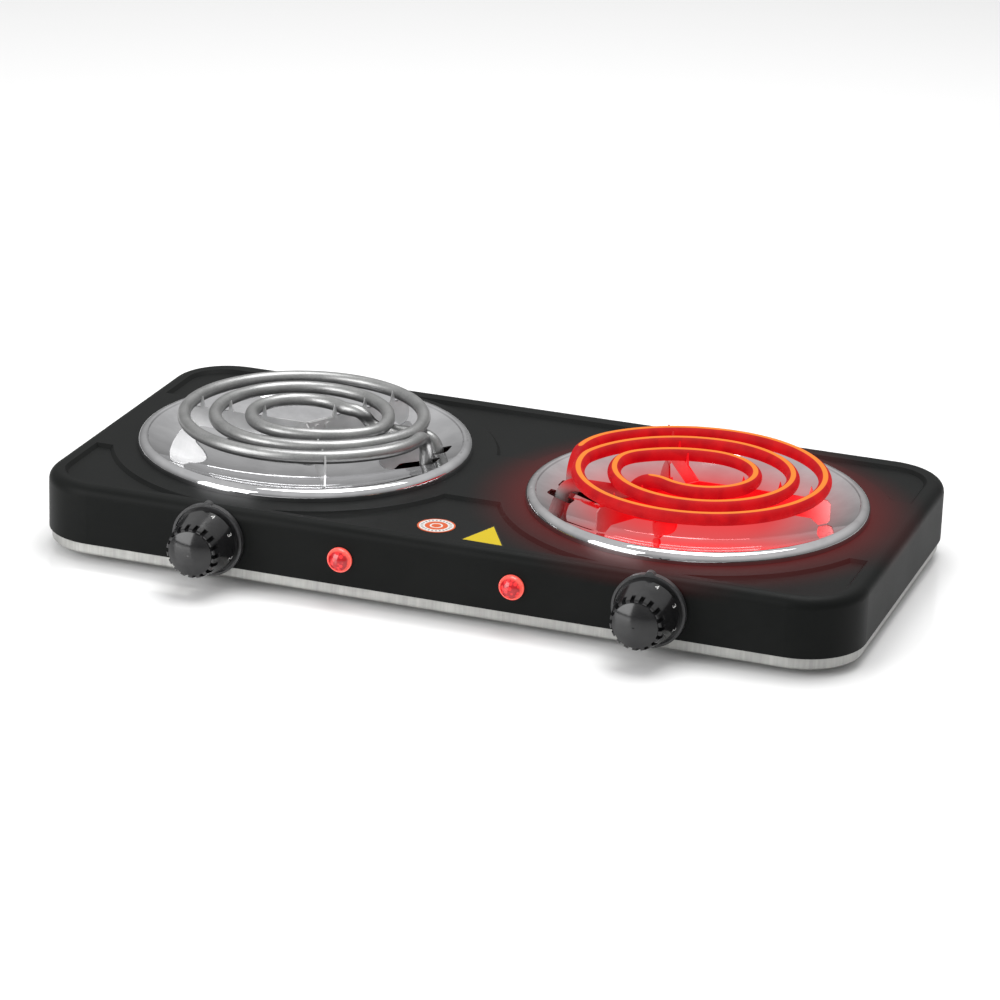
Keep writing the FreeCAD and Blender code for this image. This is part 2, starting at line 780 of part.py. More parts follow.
def make_spider(side, sign, path):
    """Two arms folded from one strip, and a third arm whose tab is riveted to the strip."""
    left_arm, back_arm, front_arm = 180, 60, -60
    rivet_z = as_size(50)
    rivet_places = (7, 14)
    strip_arms = []
    for number, degrees in enumerate((left_arm, back_arm)):
        plate = arm(f"{side}_strip{number}", -0.2, turn_radii(path, degrees), False)
        place(plate, 0, 0, 0, FreeCAD.Rotation(UP, degrees))
        strip_arms.append(plate)
    along = FreeCAD.Rotation(UP, back_arm)

    def across(name, radius, length, reach, depth):
        """A rod square to the back arm, at a distance along it."""
        rod = doc.addObject("Part::Cylinder", name)
        bind(rod, "Radius", radius)
        bind(rod, "Height", length)
        origin = along.multVec(Vector(reach, depth, float(rivet_z)))
        place(rod, origin.x, origin.y, rivet_z, along.multiply(TURN_TO["y"]))
        return rod

    drills = [across(f"{side}_strip_drill{reach}", rivet_radius + slide_gap, 8, reach, -4)
              for reach in rivet_places]
    strip = cut(f"{side}_spider_strip", fuse(f"{side}_strip_blank", *strip_arms), *drills)
    burner_node(strip, sign, f"{side}_spider_strip")

    third = arm(f"{side}_third", 2.2, turn_radii(path, front_arm), True)
    place(third, 0, 0, 0, FreeCAD.Rotation(UP, front_arm))
    tab = doc.addObject("Part::Box", f"{side}_third_tab")
    bind(tab, "Length", 17)
    bind(tab, "Width", arm_sheet)
    bind(tab, "Height", 8.4)
    corner = along.multVec(Vector(1.2, -1.5 * float(arm_sheet) - 0.02, 0))
    place(tab, corner.x, corner.y, 45.6, along)
    tab_drills = [across(f"{side}_tab_drill{reach}", rivet_radius + slide_gap, 8, reach, -4)
                  for reach in rivet_places]
    joined = cut(f"{side}_spider_arm", fuse(f"{side}_third_blank", third, tab), *tab_drills)
    burner_node(joined, sign, f"{side}_spider_arm")

    rivets = []
    head = 0.8
    near = -1.5 * float(arm_sheet) - 0.04
    far = float(arm_sheet) / 2 + 0.02
    for reach in rivet_places:
        shank = across(f"{side}_rivet_shank{reach}", rivet_radius, far - near + 2 * head, reach, near - head)
        front = across(f"{side}_rivet_front{reach}", rivet_radius + 1, head, reach, near - head)
        back = across(f"{side}_rivet_back{reach}", rivet_radius + 1, head, reach, far)
        rivets.append(fuse(f"{side}_rivet{reach}", shank, front, back))
    burner_node(group(f"{side}_spider_rivets", rivets), sign, f"{side}_spider_rivets")


# ---------------------------------------------------------------- controls

def front_node(thing, x, label):
    """Put a piece that was drawn about Z so that it looks out of the front wall."""
    place(thing, x, front_face, control_z, TURN_TO["-y"])
    return node(thing, label)


def make_bezel(side, x):
    disc = cylinder(f"{side}_bezel_disc", bezel_radius, bezel_depth, 0, 0, 0)
    tab = cylinder(f"{side}_bezel_tab", 2.6, bezel_depth, 0, bezel_radius - 1, 0)
    hollow = cylinder(f"{side}_bezel_hollow", bezel_radius - 1.3, bezel_depth, 0, 0, bezel_web)
    middle = cylinder(f"{side}_bezel_hole", bush_radius + 1.1, bezel_depth + 2, 0, 0, -1)
    holes = [
        cylinder(f"{side}_bezel_screw_hole{number}", control_screw + 0.1, bezel_depth + 2,
                 sign * control_screw_x, 0, -1)
        for number, sign in enumerate((-1, 1))
    ]
    blank = fuse(f"{side}_bezel_blank", disc, tab)
    front_node(cut(f"{side}_bezel", blank, hollow, middle, *holes), x, f"{side}_bezel")


def make_knob(side, x):
    bore = shaft_radius + 0.12
    hub = as_size(6.5)
    grip_front = knob_depth - 3.2
    notch_back = grip_front - 4.5
    dome_edge = grip_radius - 1.6
    dome_base = grip_front + 0.5
    dome_rise = knob_depth - dome_base
    dome_radius = (dome_edge * dome_edge + dome_rise * dome_rise) / (2 * dome_rise)
    body = revolve(f"{side}_knob", (
        (bore, knob_gap + 1),
        (hub, knob_gap + 1),
        (hub, notch_back - 2),
        (grip_radius - 1, notch_back - 2),
        (skirt_radius - 1.6, knob_gap),
        (skirt_radius - 0.3, knob_gap),
        (skirt_radius, knob_gap + 0.6),
        (grip_radius, grip_front - 0.6),
        (grip_radius - 0.6, grip_front),
        (dome_edge, grip_front),
        (dome_edge, dome_base, dome_radius),
        (0, knob_depth),
        (0, grip_front - 1.5),
        (bore, grip_front - 1.5),
    ))
    doc.recompute()
    turned = body.Tip
    notch = new_sketch(body, "XY_Plane", notch_back)
    rounded_rectangle(notch, 4, 2.2, 0.4, grip_radius + 0.5, 0)
    groove = extrude(body, "Pocket", notch, knob_depth - notch_back, backwards=True)
    check_cut(body, groove, turned)
    notches = body.newObject("PartDesign::PolarPattern", f"{side}_knob_notches")
    notches.Originals = [groove]
    notches.Axis = (notch, ["N_Axis"])
    notches.Angle = 360
    notches.Occurrences = 18
    body.Tip = notches
    check_cut(body, notches, groove)
    front_node(body, x, f"{side}_knob")

    flat = shaft_radius - 0.8
    spring = box(f"{side}_spring_leaf", (-1.1, 1.1), (flat + 0.15, flat + 0.6),
                 (knob_gap + 3, grip_front - 3))
    front_node(group(f"{side}_knob_spring_set", [spring]), x, f"{side}_knob_spring")

    inner_end = as_size(-6.8)
    outer_end = grip_front - 2
    rod = cylinder(f"{side}_shaft_rod", shaft_radius, outer_end - inner_end, 0, 0, inner_end)
    collar = cylinder(f"{side}_shaft_collar", shaft_radius + 1.4, 0.8, 0, 0, inner_end)
    step = box(f"{side}_shaft_flat", (-4, 4), (flat, flat + 3), (knob_gap + 1, outer_end + 1))
    shaft = cut(f"{side}_knob_shaft", fuse(f"{side}_shaft_blank", rod, collar), step)
    front_node(shaft, x, f"{side}_knob_shaft")


def make_thermostat(side, sign, x):
    """A bimetal thermostat: plate and bush, a ceramic stack, and two contact blades."""
    stack_x = sign * 10
    wall = -shell_wall
    plate_back = wall - 1.2
    plate = box(f"{side}_frame_plate", (-16, 16), (-7.5, 7.5), (plate_back, wall))
    bush = cylinder(f"{side}_frame_bush", bush_radius, 7, 0, 0, -5.8)
    bore = cylinder(f"{side}_frame_bore", shaft_radius + running_fit, 12, 0, 0, -8)
    taps = [
        cylinder(f"{side}_frame_tap{number}", control_screw + slide_gap, 4, end * control_screw_x, 0, -4)
        for number, end in enumerate((-1, 1))
    ]
    frame = cut(f"{side}_thermostat_frame", fuse(f"{side}_frame_blank", plate, bush), bore, *taps)
    front_node(frame, x, f"{side}_thermostat_frame")

    blade = as_size(0.6)
    washer = as_size(4.6)
    core = as_size(2)
    levels = [plate_back - (number + 1) * washer - number * blade for number in range(3)]
    discs = [
        cylinder(f"{side}_washer{number}", 4.5, washer, stack_x, 0, level)
        for number, level in enumerate(levels)
    ]
    rod = cylinder(f"{side}_stack_core", core, plate_back - levels[-1], stack_x, 0, levels[-1])
    stack = fuse(f"{side}_stack_blank", rod, *discs)
    relief = cylinder(f"{side}_stack_relief", control_screw + 0.4, 3, sign * control_screw_x, 0,
                      plate_back - 2.4)
    front_node(cut(f"{side}_relieved_stack", stack, relief), x, f"{side}_thermostat_stack")

    blades = []
    for number, level in enumerate(levels[:2]):
        ends = sorted((sign * 13.0, sign * -20.0))
        strip = box(f"{side}_blade_strip{number}", ends, (-3.5, 3.5), (level - blade, level))
        eye = cylinder(f"{side}_blade_eye{number}", core + slide_gap, 2, stack_x, 0, level - 1.3)
        blades.append(cut(f"{side}_blade{number}", strip, eye))
    front_node(group(f"{side}_thermostat_blades", blades), x, f"{side}_thermostat_blades")


def make_lamp(side, x):
    dome_start = as_size(1.4)
    dome_top = as_size(5.2)
    dome_edge = lamp_radius - 0.4
    rise = dome_top - dome_start
    dome = (dome_edge * dome_edge + rise * rise) / (2 * rise)
    lens = revolve(f"{side}_lamp_lens", (
        (lamp_barrel - 0.9, -lamp_length),
        (lamp_barrel, -lamp_length),
        (lamp_barrel, 0),
        (lamp_radius, 0),
        (lamp_radius, dome_start),
        (dome_edge, dome_start, dome),
        (0, dome_top),
        (0, dome_top - 1.6),
        (lamp_barrel - 0.9, 1.2),
    ))
    front_node(lens, x, f"{side}_lamp_lens")
    glass = cylinder(f"{side}_bulb_glass", 2.6, 10, 0, 0, -11)
    tip = doc.addObject("Part::Sphere", f"{side}_bulb_tip")
    bind(tip, "Radius", 2.6)
    place(tip, 0, 0, -1)
    front_node(fuse(f"{side}_lamp_bulb", glass, tip), x, f"{side}_lamp_bulb")
    ring = cylinder(f"{side}_clip_ring", lamp_barrel + 3, 0.8, 0, 0, -shell_wall - 0.9)
    hole = cylinder(f"{side}_clip_hole", lamp_barrel + slide_gap, 3, 0, 0, -shell_wall - 2)
    front_node(cut(f"{side}_lamp_clip", ring, hole), x, f"{side}_lamp_clip")


def make_control_screws():
    screws = []
    for side, sign in SIDES:
        for number, end in enumerate((-1, 1)):
            name = f"{side}_control_screw{number}"
            x = end * control_screw_x
            shank = cylinder(f"{name}_shank", control_screw, 4.2, x, 0, bezel_web - 4.2)
            head = cylinder(f"{name}_head", 2.7, 1.4, x, 0, bezel_web)
            slot = box(f"{name}_slot", (x - 2, x + 2), (-0.35, 0.35), (bezel_web + 0.7, bezel_web + 2))
            screw = cut(name, fuse(f"{name}_blank", head, shank), slot)
            place(screw, sign * knob_x, front_face, control_z, TURN_TO["-y"])
            screws.append(screw)
    node(group("thermostat_screws", screws), "thermostat_screws")


# ---------------------------------------------------------------- supply and wiring

def make_terminal_block():
    half_width = 17
    half_depth = 9
    top = tray_floor + 16
    poles = (-10.5, 0, 10.5)
    rows = (-4.5, 4.5)
    wire_z = tray_floor + 6
    body = box("block_body", (-half_width, half_width), (block_y - half_depth, block_y + half_depth),
               (tray_floor, top))
    tunnels = [
        cylinder(f"block_tunnel{number}", 2.6, 2 * half_depth + 2, x, block_y - half_depth - 1, wire_z, "y")
        for number, x in enumerate(poles)
    ]
    wells = []
    screws = []
    for number, x in enumerate(poles):
        for row in rows:
            name = f"block_pole{number}_{'front' if row < 0 else 'rear'}"
            wells.append(cylinder(f"{name}_well", 1.8, 12, x, block_y + row, wire_z + 1))
            screws.append(cylinder(f"{name}_screw", 1.75, 8, x, block_y + row, wire_z + 1.5))
    fixings = []
    for number, sign in enumerate((-1, 1)):
        x = sign * 5.25
        wells.append(cylinder(f"block_fixing_well{number}", control_screw + 0.1, 20, x, block_y,
                              tray_floor - 2))
        shank = cylinder(f"block_fixing_shank{number}", control_screw, top + 0.5 - 2.5, x, block_y, 2.5)
        head = cylinder(f"block_fixing_head{number}", 2.7, 1.6, x, block_y, top)
        fixings.append(fuse(f"block_fixing{number}", shank, head))
    node(cut("terminal_block", body, *tunnels, *wells), "terminal_block")
    node(group("terminal_screws", screws), "terminal_screws")

    ring_sheet = as_size(1)
    earth_shank = cylinder("earth_shank", screw_radius, 5, earth_x, block_y, tray_floor + ring_sheet - 3)
    earth_head = cylinder("earth_head", 3.6, 2, earth_x, block_y, tray_floor + ring_sheet)
    fixings.append(fuse("earth_fixing", earth_shank, earth_head))
    node(group("floor_screws", fixings), "floor_screws")


def make_gland():
    inner_end = as_size(-14)
    gland = revolve("cable_gland", (
        (gland_bore, inner_end),
        (gland_barrel, inner_end),
        (gland_barrel, 0),
        (gland_barrel + 2.8, 0),
        (gland_barrel + 2.8, 2.6),
        (gland_barrel, gland_reach),
        (gland_bore, gland_reach),
    ))
    place(gland, 0, body_depth / 2, gland_z, TURN_TO["y"])
    node(gland, "cable_gland")
    hexagon = doc.addObject("Part::Prism", "gland_hexagon")
    hexagon.Polygon = 6
    bind(hexagon, "Circumradius", gland_barrel + 3.2)
    bind(hexagon, "Height", 5)
    hole = cylinder("gland_nut_hole", gland_barrel + slide_gap, 7, 0, 0, -1)
    nut = cut("gland_nut", hexagon, hole)
    place(nut, 0, body_depth / 2 - shell_wall - 5, gland_z, TURN_TO["y"])
    node(nut, "gland_nut")


def wire_solid(points):
    """A wire laid through points: straight runs joined by the largest tangent arcs that fit."""
    points = [Vector(*point) for point in points]
    edges = []
    start = points[0]
    largest = 30
    for before, corner, after in zip(points, points[1:], points[2:]):
        incoming = corner - before
        outgoing = after - corner
        half_turn = incoming.getAngle(outgoing) / 2
        radius = min(0.45 * min(incoming.Length, outgoing.Length) / math.tan(half_turn), largest)
        trim = radius * math.tan(half_turn)
        incoming.normalize()
        outgoing.normalize()
        arc_start = corner - incoming * trim
        arc_end = corner + outgoing * trim
        inward = (outgoing - incoming).normalize()
        middle = corner + inward * (radius / math.cos(half_turn) - radius)
        edges.append(Part.LineSegment(start, arc_start).toShape())
        edges.append(Part.Arc(arc_start, middle, arc_end).toShape())
        start = arc_end
    edges.append(Part.LineSegment(start, points[-1]).toShape())
    return pipe(Part.Wire(edges), float(wire_radius))


def make_wiring():
    """Leads between the terminal block, the thermostats, the lamps and the coils."""
    front = float(front_face)
    block_front = float(block_y) - 9.4
    block_z = float(tray_floor) + 6
    axis_z = float(control_z)
    plate_back = -float(shell_wall) - 1.2
    first_blade = front - plate_back + 4.9
    second_blade = first_blade + 5.2
    tab_x = float(knob_x) - 20.5
    lamp_back = front + float(lamp_length) + 0.8
    plug_x = float(burner_x - leg_end_x) - 9.4
    outer_y = float(outer_leg_y)
    inner_y = float(inner_leg_y)
    centre_y = float(burner_y)
    coil_z = float(hinge_z)
    live = []
    load = []
    neutral = []
    for side, sign in SIDES:
        leg_turn = -sign
        drop_x = sign * (plug_x - 3.4)
        live.append((
            (-10.5 + sign * 1.25, block_front, block_z), (-10.5 + sign * 1.6, 44, 6.3),
            (sign * 14, 6, 6.3), (sign * 30, -38, 8), (sign * 58, -74, 10),
            (sign * (tab_x - 16), first_blade + 6, axis_z - 4), (sign * tab_x, first_blade, axis_z),
        ))
        load.append((
            (sign * tab_x, second_blade, axis_z + 1.8), (sign * (tab_x - 15), second_blade + 4, axis_z - 2),
            (sign * 66, -64, 13), (sign * 40, -32, 12), (sign * 17, centre_y + leg_turn * (outer_y - 6), 13),
            (drop_x, centre_y + leg_turn * outer_y, 20), (drop_x, centre_y + leg_turn * outer_y, coil_z - 4),
        ))
        load.append((
            (sign * tab_x, second_blade + 3.4, axis_z - 2), (sign * (tab_x - 12), second_blade + 7, axis_z - 4),
            (sign * 66, -84, 19), (sign * 50, lamp_back + 6, axis_z - 1),
            (sign * (float(lamp_x) + 1.4), lamp_back, axis_z),
        ))
        neutral.append((
            (sign * 1.3, block_front, block_z + 1.3), (sign * 1.6, 44, 13),
            (sign * 4.5, 30, 14), (drop_x, centre_y + leg_turn * inner_y, 20),
            (drop_x, centre_y + leg_turn * inner_y, coil_z - 4),
        ))
        neutral.append((
            (sign * 1.3, block_front, block_z - 1.3), (sign * 2, 36, 10.4), (sign * 5, 0, 10.4),
            (sign * 12, -44, 11), (sign * 30, -76, 18), (sign * 40, lamp_back + 5, axis_z - 2),
            (sign * (float(lamp_x) - 1.4), lamp_back, axis_z),
        ))
    for label, routes in (("live_wires", live), ("load_wires", load), ("neutral_wires", neutral)):
        wires = doc.addObject("Part::Feature", label)
        wires.Shape = Part.makeCompound([wire_solid(points) for points in routes])
        node(wires, label)

    ring_z = float(tray_floor)
    ring = Part.makeCylinder(4, 1, Vector(float(earth_x), float(block_y), ring_z))
    ring = ring.cut(Part.makeCylinder(float(screw_radius) + 0.1, 3, Vector(float(earth_x), float(block_y), 3)))
    barrel_x = float(earth_x) - 3.2
    lead = wire_solid((
        (10.5, block_front, block_z), (12, 48, 8), (30, 44, 7.2), (46, 58, 6.8), (barrel_x, 68.6, 6.0),
    ))
    earth = doc.addObject("Part::Feature", "earth_wire")
    earth.Shape = lead.fuse(ring)
    node(earth, "earth_wire")


def make_labels():
    disc = cylinder("label_disc", 9.75, label_sheet, -4.4, -83.7, panel_surface)
    node(disc, "label_disc")
    body = new_body("label_triangle")
    sketch = new_sketch(body, "XY_Plane", panel_surface)
    outline(sketch, ((13.3, -97), (36.6, -97.6), (22.6, -71.4)))
    extrude(body, "Pad", sketch, label_sheet)
    node(body, "label_triangle")


# ---------------------------------------------------------------- the whole object

def make_all():
    make_top_housing()
    make_base_plate()
    make_feet_and_posts()
    path = coil_path()
    for side, sign in SIDES:
        make_drip_pan(side, sign)
        make_coil(side, sign, path)
        make_hinge(side, sign)
        make_spider(side, sign, path)
        make_bezel(side, sign * knob_x)
        make_knob(side, sign * knob_x)
        make_thermostat(side, sign, sign * knob_x)
        make_lamp(side, sign * lamp_x)
    make_control_screws()
    make_terminal_block()
    make_gland()
    make_wiring()
    make_labels()


def write_parts():
    doc.recompute()
    for thing in doc.Objects:
        if "Invalid" in thing.State or "Error" in thing.State:
            raise RuntimeError(f"{thing.Name} failed: {thing.State}")
    for thing in nodes:
        if thing.Shape.isNull() or not thing.Shape.isValid():
            raise RuntimeError(f"{thing.Label} has no valid shape")
    os.makedirs("parts", exist_ok=True)
    for thing in nodes:
        thing.Shape.exportStep(f"parts/{thing.Label}.step")
    print(len(nodes), "parts written")


make_all()
write_parts()
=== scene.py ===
import math

import bmesh
import bpy
from mathutils import Matrix, Vector


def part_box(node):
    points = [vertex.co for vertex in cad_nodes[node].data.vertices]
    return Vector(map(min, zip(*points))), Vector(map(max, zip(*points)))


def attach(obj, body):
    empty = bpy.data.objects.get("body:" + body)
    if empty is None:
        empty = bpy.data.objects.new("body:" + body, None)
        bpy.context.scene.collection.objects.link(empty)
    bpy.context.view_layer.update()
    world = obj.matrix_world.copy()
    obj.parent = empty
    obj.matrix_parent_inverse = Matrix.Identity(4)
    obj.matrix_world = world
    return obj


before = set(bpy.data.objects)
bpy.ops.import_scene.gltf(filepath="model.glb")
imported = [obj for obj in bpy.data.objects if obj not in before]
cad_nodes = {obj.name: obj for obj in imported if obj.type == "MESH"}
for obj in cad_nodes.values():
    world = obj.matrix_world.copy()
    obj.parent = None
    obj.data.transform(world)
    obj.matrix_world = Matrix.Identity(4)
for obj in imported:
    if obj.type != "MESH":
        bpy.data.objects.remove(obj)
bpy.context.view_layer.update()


# ---- Base tray
# A shallow tray drawn from galvanised sheet, with rows of vents punched in its floor.
# It closes the housing from below, and its plain rim shows as a bright band round the foot.

class Reading:
    """A number that varies over a surface, so that a finish can be written as a sum."""

    def __init__(self, finish, socket):
        self.finish = finish
        self.socket = socket

    def reckon(self, operation, *values):
        return self.finish.node("ShaderNodeMath", {"operation": operation}, dict(enumerate(values)))

    def __add__(self, other):
        return self.reckon("ADD", self, other)

    def __sub__(self, other):
        return self.reckon("SUBTRACT", self, other)

    def __rsub__(self, other):
        return self.reckon("SUBTRACT", other, self)

    def __mul__(self, other):
        return self.reckon("MULTIPLY", self, other)

    def __pow__(self, other):
        return self.reckon("POWER", self, other)

    def __gt__(self, other):
        return self.reckon("GREATER_THAN", self, other)

    def __lt__(self, other):
        return self.reckon("LESS_THAN", self, other)

    __radd__ = __add__
    __rmul__ = __mul__

    def ramp(self, low, high):
        """0 below low, 1 above high, and a soft step between them."""
        settings = {"interpolation_type": "SMOOTHSTEP"}
        return self.finish.node("ShaderNodeMapRange", settings, {0: self, 1: low, 2: high})


class Finish:
    """One finish of the object: a surface shader whose sockets take numbers or readings."""

    def __init__(self, name, **surface):
        self.material = bpy.data.materials.new(name)
        self.material.use_nodes = True
        self.tree = self.material.node_tree
        self.shader = self.tree.nodes["Principled BSDF"]
        self.place = self.node("ShaderNodeTexCoord", output="Object")
        for socket, value in surface.items():
            self.feed(self.shader.inputs[socket.replace("_", " ")], value)

    def feed(self, socket, value):
        if isinstance(value, Reading):
            self.tree.links.new(value.socket, socket)
        else:
            socket.default_value = value

    def node(self, kind, settings=None, sockets=None, output=0):
        """One node: its settings first, then the values or links of its sockets."""
        made = self.tree.nodes.new(kind)
        for name, value in (settings or {}).items():
            setattr(made, name, value)
        for name, value in (sockets or {}).items():
            self.feed(made.inputs[name], value)
        return Reading(self, made.outputs[output])

    def colour(self, share, low, high):
        """A colour between low and high, each a colour or another mix."""
        low, high = ((*c, 1) if isinstance(c, tuple) else c for c in (low, high))
        return self.node("ShaderNodeMix", {"data_type": "RGBA"}, {0: share, 6: low, 7: high}, 2)

    def grain(self, size, stretch=(1, 1, 1), detail=3.0, middle=(0, 0, 0)):
        """Uneven grain about size metres across, drawn out along an axis by stretch."""
        scale = tuple(1 / (size * way) for way in stretch)
        spot = self.node("ShaderNodeMapping", {"vector_type": "POINT"},
                         {"Vector": self.place, "Location": middle, "Scale": scale})
        return self.node("ShaderNodeTexNoise", None, {"Vector": spot, "Scale": 1.0, "Detail": detail})

    def cells(self, size, feature="F1"):
        return self.node("ShaderNodeTexVoronoi", {"feature": feature},
                         {"Vector": self.place, "Scale": 1 / size})

    def along(self, axis):
        return self.node("ShaderNodeSeparateXYZ", None, {"Vector": self.place}, axis)

    def surface(self, socket, value):
        self.feed(self.shader.inputs[socket], value)

    def relief(self, height, depth):
        """Lets a reading stand proud of the surface by depth metres."""
        bump = self.node("ShaderNodeBump", None, {"Height": height, "Distance": depth, "Strength": 1.0})
        self.surface("Normal", bump)

    def on(self, *names):
        """Puts the finish on CAD nodes."""
        for name in names:
            for slot in cad_nodes[name].material_slots:
                slot.material = self.material


galvanised = Finish("galvanised_sheet", Metallic=0.7)
streaks = galvanised.grain(0.0013, (1, 1, 16), 4.0)
spangle = galvanised.grain(0.014, detail=3.0)
galvanised.surface("Base Color", galvanised.colour(
    streaks.ramp(0.25, 0.75) * 0.45 + spangle.ramp(0.3, 0.7) * 0.55,
    (0.3, 0.3, 0.29), (0.46, 0.46, 0.44)))
galvanised.surface("Roughness", spangle * 0.25 + 0.3)
galvanised.relief(streaks + spangle * 0.4, 0.00002)
galvanised.on("base_plate")


# ---- Feet, posts and base screws
# Four moulded rubber rings are clamped under the tray by screws that run into posts welded
# inside the housing. The rubber is matt and a little dusty, the screws are zinc plated.

rubber = Finish("foot_rubber")
dust = rubber.grain(0.004, detail=4.0)
rubber.surface("Base Color", rubber.colour(
    dust.ramp(0.45, 0.75), (0.012, 0.012, 0.012), (0.05, 0.048, 0.045)))
rubber.surface("Roughness", dust * 0.2 + 0.68)
rubber.relief(rubber.grain(0.0006), 0.00004)
rubber.on("front_left_foot", "front_right_foot", "rear_left_foot", "rear_right_foot")

zinc = Finish("zinc_plate", Metallic=1.0)
tarnish = zinc.grain(0.0014, detail=4.0)
zinc.surface("Base Color", zinc.colour(tarnish, (0.5, 0.51, 0.53), (0.8, 0.81, 0.83)))
zinc.surface("Roughness", tarnish * 0.3 + 0.18)
zinc.relief(tarnish, 0.00002)
zinc.on("housing_posts", "base_screws", "thermostat_screws", "terminal_screws", "floor_screws")


# ---- Supply inlet and wiring
# A nylon gland in the rear wall, a ceramic terminal block on the tray floor, and sleeved leads
# from there to the thermostats, the lamps and the coils. The earth lead ends in a ring.

nylon = Finish("black_nylon")
flow = nylon.grain(0.0022, (1, 3, 1), 4.0)
nylon.surface("Base Color", nylon.colour(flow, (0.008, 0.008, 0.009), (0.026, 0.026, 0.027)))
nylon.surface("Roughness", flow * 0.25 + 0.35)
nylon.relief(flow, 0.00002)
nylon.on("cable_gland", "gland_nut")

ceramic = Finish("white_ceramic")
bake = ceramic.grain(0.0012, detail=5.0)
ceramic.surface("Base Color", ceramic.colour(bake, (0.66, 0.62, 0.55), (0.85, 0.83, 0.78)))
ceramic.surface("Roughness", bake * 0.2 + 0.5)
ceramic.relief(bake, 0.00004)
ceramic.on("terminal_block", *(f"{side}_{piece}" for side in ("left", "right")
                               for piece in ("end_beads", "thermostat_stack")))


def braided_sleeve(name, dark, light, *nodes):
    sleeve = Finish(name)
    weave = sleeve.cells(0.0007)
    sleeve.surface("Base Color", sleeve.colour(weave, light, dark))
    sleeve.surface("Roughness", weave * 0.2 + 0.6)
    sleeve.relief(weave, 0.0001)
    sleeve.on(*nodes)


braided_sleeve("brown_sleeve", (0.08, 0.03, 0.012), (0.24, 0.1, 0.045), "live_wires", "load_wires")
braided_sleeve("blue_sleeve", (0.01, 0.05, 0.2), (0.03, 0.16, 0.5), "neutral_wires")
braided_sleeve("earth_sleeve", (0.06, 0.25, 0.02), (0.75, 0.7, 0.05), "earth_wire")


# ---- Top housing
# One deep-drawn steel shell in satin black enamel, with six shallow sunk panels, two round
# openings for the pans and a softly rounded top edge. The hot coil's red light is laid into the
# finishes of what stands round it, fading evenly with the distance from the coil's own axis.

hot_low, hot_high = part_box("right_drip_pan")
hot_middle = (hot_low + hot_high) / 2


# Painted light: the hot coil's red glow, laid into a colour by distance from the coil's axis.
def painted_coil_glow(finish, near, far, lit, plain=(0.0, 0.0, 0.0)):
    """A colour that the hot coil has lit up to near from its axis, and that is plain past far."""
    aside = finish.along("X") - hot_middle.x
    behind = finish.along("Y") - hot_middle.y
    from_coil = (aside * aside + behind * behind) ** 0.5
    return finish.colour(from_coil.ramp(near, far), lit, plain)


enamel = Finish("black_enamel", Specular_IOR_Level=0.1, Emission_Strength=0.5)
settle = enamel.grain(0.03, detail=3.0)
peel = enamel.grain(0.0011, detail=2.0)
enamel.surface("Base Color", enamel.colour(
    settle.ramp(0.3, 0.7), (0.0034, 0.004, 0.0037), (0.0054, 0.006, 0.0057)))
enamel.surface("Roughness", settle * 0.1 + peel * 0.06 + 0.42)
enamel.relief(peel, 0.000012)
housing_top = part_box("top_housing")[1].z
# Painted red light of the hot coil, glowing on the top face of the housing only.
on_top = enamel.along("Z").ramp(housing_top - 0.01, housing_top - 0.003)
enamel.surface("Emission Color", enamel.colour(
    on_top, (0.0, 0.0, 0.0), painted_coil_glow(enamel, 0.07, 0.122, (0.26, 0.002, 0.003))))
enamel.on("top_housing")


# ---- Labels
# Two thin printed paper labels, stuck on the front panel between the burners. Both are plain:
# a round one with a pale ring of tick marks, and a triangle with a dark edge line.

round_label = Finish("round_label", Roughness=0.55, Specular_IOR_Level=0.15)
label_low, label_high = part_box("label_disc")
label_middle = (label_low + label_high) / 2
across = round_label.along("X") - label_middle.x
down = round_label.along("Y") - label_middle.y
reach = (across * across + down * down) ** 0.5
turn = round_label.node("ShaderNodeMath", {"operation": "ARCTAN2"}, {0: down, 1: across})
tick_count = 24
tick_marks = turn.reckon("SINE", turn * tick_count) > 0.3
dark_ticks = (reach > 0.0067) * (reach < 0.0081) * tick_marks
pale_ring = (reach > 0.0059) * (reach < 0.0089)
eye_ring = (reach > 0.0025) * (reach < 0.0034)
ink = round_label.grain(0.0006)
printed = round_label.colour(pale_ring + eye_ring, round_label.colour(
    ink, (0.46, 0.075, 0.02), (0.54, 0.1, 0.03)), (0.56, 0.54, 0.52))
round_label.surface("Base Color", round_label.colour(dark_ticks, printed, (0.16, 0.15, 0.14)))
round_label.on("label_disc")

hazard_yellow = Finish("triangle_label", Roughness=0.5, Specular_IOR_Level=0.15)
corners = (Vector((0.0133, -0.0865)), Vector((0.0366, -0.0871)), Vector((0.0226, -0.0609)))
edge_line = 0.0007
inside = 1.0
for start, end in zip(corners, corners[1:] + corners[:1]):
    way = (end - start).normalized()
    depth = ((hazard_yellow.along("Y") - start.y) * way.x
             - (hazard_yellow.along("X") - start.x) * way.y)
    inside = (depth > edge_line) * inside
fibre = hazard_yellow.grain(0.0008)
hazard_yellow.surface("Base Color", hazard_yellow.colour(
    inside, (0.02, 0.018, 0.012), hazard_yellow.colour(fibre, (0.46, 0.34, 0.004), (0.52, 0.39, 0.012))))
hazard_yellow.on("label_triangle")


# ---- Thermostats
# A steel frame carries a ceramic stack of sprung contact strips. The shaft that turns it comes
# out through the housing, and its flat and a leaf spring hold the knob.

nickel = Finish("nickel_plate", Metallic=1.0)
haze = nickel.grain(0.002, (1, 1, 3), 4.0)
nickel.surface("Base Color", nickel.colour(haze, (0.5, 0.48, 0.44), (0.74, 0.72, 0.68)))
nickel.surface("Roughness", haze * 0.3 + 0.2)
nickel.relief(haze, 0.00002)
nickel.on(*(f"{side}_{piece}" for side in ("left", "right")
            for piece in ("coil_terminals", "coil_receptacles", "knob_shaft", "knob_spring",
                          "thermostat_frame", "lamp_clip")))

